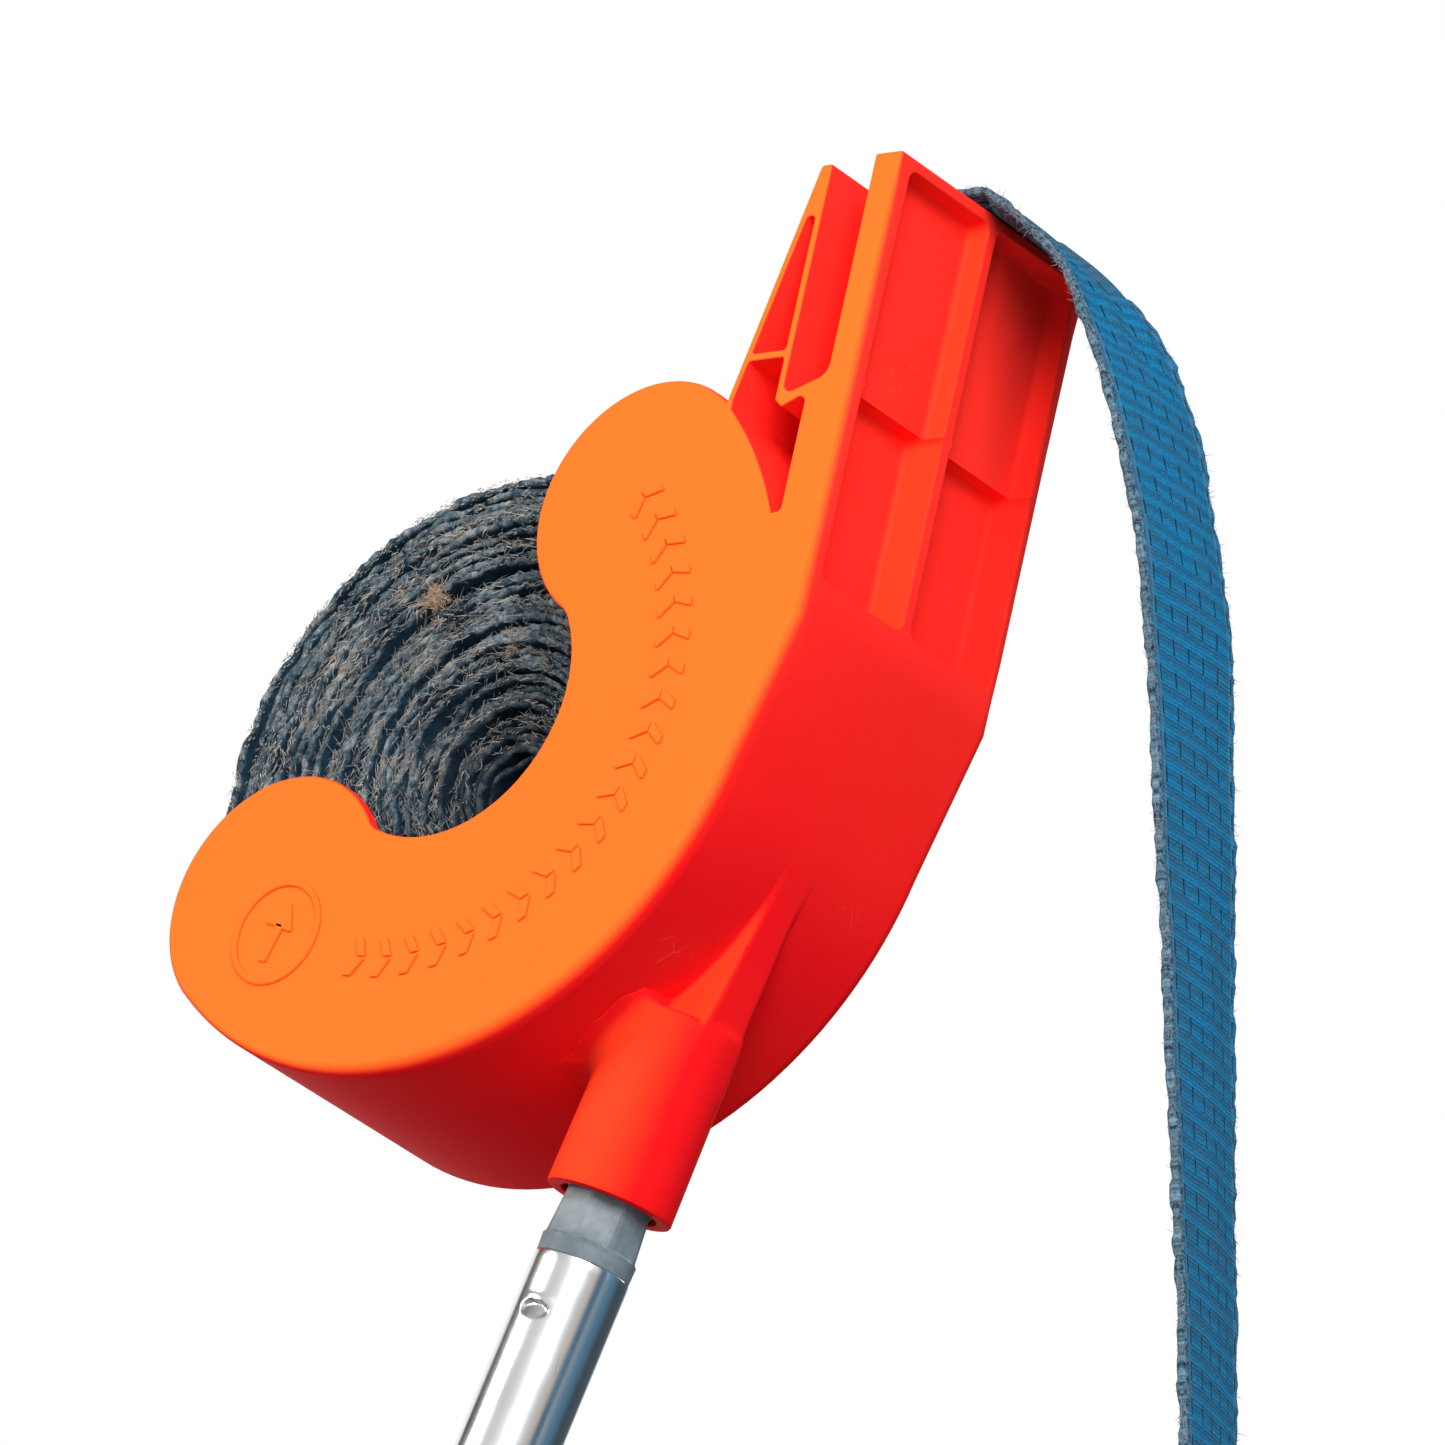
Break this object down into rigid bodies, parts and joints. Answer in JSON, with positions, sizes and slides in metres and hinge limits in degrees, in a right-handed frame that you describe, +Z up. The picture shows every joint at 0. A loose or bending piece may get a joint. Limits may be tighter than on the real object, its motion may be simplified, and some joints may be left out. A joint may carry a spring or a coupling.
{
  "type": "strap launcher",
  "caption": "Throwing head on a telescopic pole: an open drum cradle holds a rolled webbing strap whose tail runs over a ribbed horn and hangs to a double claw hook.",
  "frame": {"origin": "on the pole's axis in the middle of the hand grip", "axes": "+Z up as the pole is held with the tail hanging along -Z, +X the way the tail hangs off the horn, +Y across the head and along the hanging hole"},
  "size_m": [0.532, 0.0928, 0.8463],
  "materials": {
    "orange_print": "printed satin",
    "worn_webbing": "worn woven",
    "webbing": "woven polyester",
    "zinc_steel": "zinc plated",
    "grey_nylon": "moulded matt",
    "polished_aluminium": "polished",
    "satin_aluminium": "drawn satin",
    "black_nylon": "moulded satin",
    "acetal": "turned",
    "rivet_steel": "plain",
    "grip_rubber": "moulded matt"
  },
  "bodies": {
    "handle": {"outer_tube": "satin_aluminium", "collar_sleeve": "black_nylon", "sleeve_rivets": "rivet_steel", "collet": "acetal", "hand_grip": "grip_rubber", "grip_rings": "black_nylon", "end_cap": "black_nylon", "cap_rivet": "rivet_steel"},
    "lock": {"lock_nut": "black_nylon"},
    "inner_section": {"inner_tube": "polished_aluminium", "inner_bush": "black_nylon", "pole_tip": "grey_nylon"},
    "head": {"near_cheek": "orange_print", "far_cheek": "orange_print", "cradle_wall": "orange_print", "front_rail": "orange_print", "rear_wedge": "orange_print", "pole_socket": "orange_print", "strap_roll": "worn_webbing", "strap_run": "webbing", "strap_tail": "webbing", "strap_eye": "webbing"},
    "hook": {"strap_hook": "zinc_steel"}
  },
  "joints": [
    {"name": "pole_extend", "type": "slide", "parent": "handle", "child": "inner_section", "axis": [0.4772, 0, 0.8788], "range_m": [-0.08, 0.3]},
    {"name": "lock_turn", "type": "hinge", "parent": "handle", "child": "lock", "pos_m": [0.20041, 0, 0.3691], "axis": [0.4772, 0, 0.8788], "range_deg": [0, 90]},
    {"name": "head_pull_off", "type": "slide", "parent": "inner_section", "child": "head", "axis": [0.4772, 0, 0.8788], "range_m": [0, 0.045]},
    {"name": "hook_swing", "type": "hinge", "parent": "head", "child": "hook", "pos_m": [0.42565, 0.014, 0.35048], "axis": [-0.4067, 0.9135, 0], "range_deg": [-75, 75]}
  ]
}
